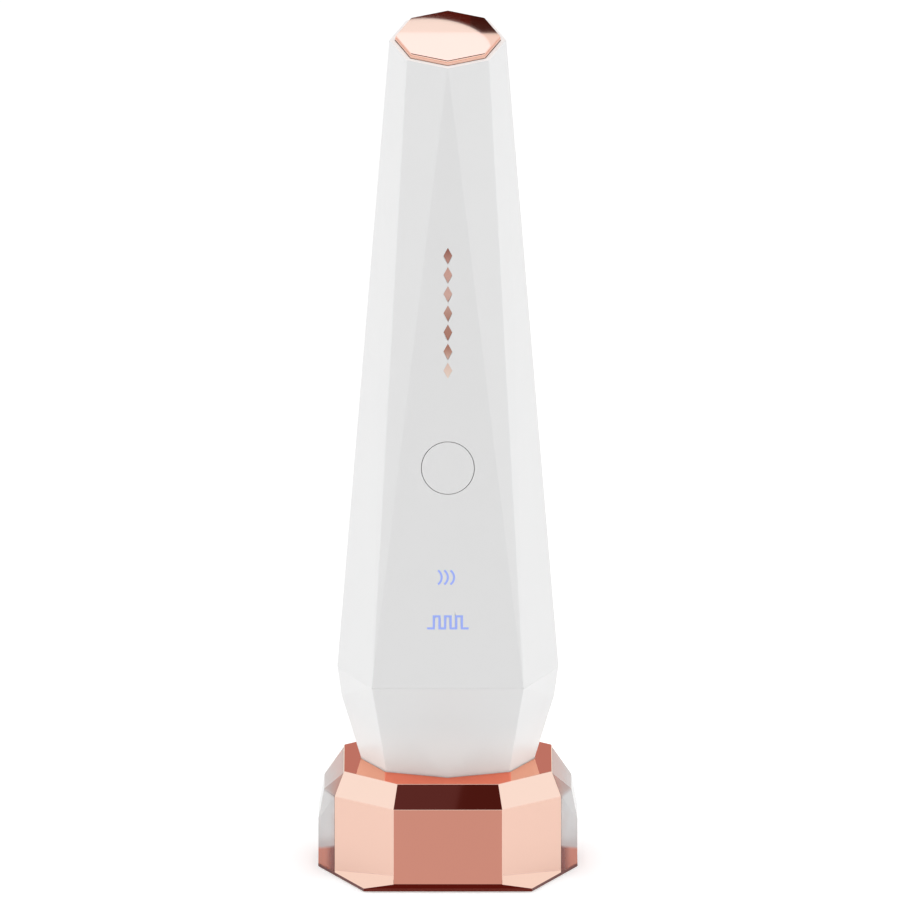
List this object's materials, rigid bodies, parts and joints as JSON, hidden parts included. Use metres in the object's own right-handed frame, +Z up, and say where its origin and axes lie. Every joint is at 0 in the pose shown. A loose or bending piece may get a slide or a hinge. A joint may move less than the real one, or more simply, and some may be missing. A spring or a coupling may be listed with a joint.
{
  "type": "facial toning device",
  "caption": "Faceted white facial toning handset with a slanted rose gold treatment head, standing in a gem-cut rose gold charging dock with clear crystal sides.",
  "frame": {"origin": "centre of the dock's footprint, on the surface that it stands on", "axes": "+Z up along the standing handset, front with the button towards -Y, +X to the viewer's right"},
  "size_m": [0.0572, 0.0632, 0.1894],
  "materials": {
    "white_shell": "satin white moulding",
    "rose_gold_metal": "polished rose gold plating",
    "clear_crystal": "clear polished acrylic crystal",
    "light_blue": "translucent, lit pale blue",
    "inner_plastic": "moulded light grey",
    "dark_plastic": "moulded dark grey",
    "seal_rubber": "soft grey elastomer",
    "steel": "bright zinc-plated steel",
    "contact_gold": "gold-plated brass",
    "board_green": "green circuit board",
    "chip_black": "black component bodies",
    "led_body": "pale LED bodies",
    "copper_winding": "enamelled copper",
    "cell_wrap": "blue cell wrap",
    "lead_sleeve": "red silicone sleeve"
  },
  "bodies": {
    "dock": {"dock_shell": "rose_gold_metal", "base_plate": "rose_gold_metal", "crystal_left": "clear_crystal", "crystal_right": "clear_crystal", "seat_cup": "dark_plastic", "pin_block": "dark_plastic", "dock_board": "board_green", "power_socket": "steel", "socket_tongue": "dark_plastic", "ballast": "steel", "foot_pads": "seal_rubber", "dock_screws": "steel"},
    "handset": {"front_shell": "white_shell", "rear_shell": "white_shell", "bottom_cap": "white_shell", "seam_gasket": "seal_rubber", "head_carrier": "inner_plastic", "ring_electrode": "rose_gold_metal", "plate_electrode": "rose_gold_metal", "skin_sensor": "copper_winding", "inner_frame": "inner_plastic", "frame_screws": "steel", "main_board": "board_green", "board_parts": "chip_black", "rf_transformer": "copper_winding", "tact_switch": "steel", "mode_leds": "led_body", "wave_light": "light_blue", "pulse_light": "light_blue", "inlay": "rose_gold_metal", "battery_cell": "cell_wrap", "battery_foam": "seal_rubber", "electrode_leads": "lead_sleeve", "charge_leads": "lead_sleeve", "charge_pads": "contact_gold", "cap_screws": "steel"},
    "button": {"button_cap": "white_shell", "switch_plunger": "dark_plastic"},
    "contact_pin_left": {"pin_left": "contact_gold"},
    "contact_pin_right": {"pin_right": "contact_gold"}
  },
  "joints": [
    {"name": "handset_lift", "type": "slide", "parent": "dock", "child": "handset", "axis": [0, 0, 1], "range_m": [0, 0.045]},
    {"name": "button_press", "type": "slide", "parent": "handset", "child": "button", "axis": [0, 0.9977, -0.0683], "range_m": [0, 0.0005], "stiffness_N_per_m": 3000, "springref_m": -0.0004},
    {"name": "pin_left_press", "type": "slide", "parent": "dock", "child": "contact_pin_left", "axis": [0, 0, -1], "range_m": [0, 0.0009], "stiffness_N_per_m": 800, "springref_m": -0.0008},
    {"name": "pin_right_press", "type": "slide", "parent": "dock", "child": "contact_pin_right", "axis": [0, 0, -1], "range_m": [0, 0.0009], "stiffness_N_per_m": 800, "springref_m": -0.0008}
  ]
}
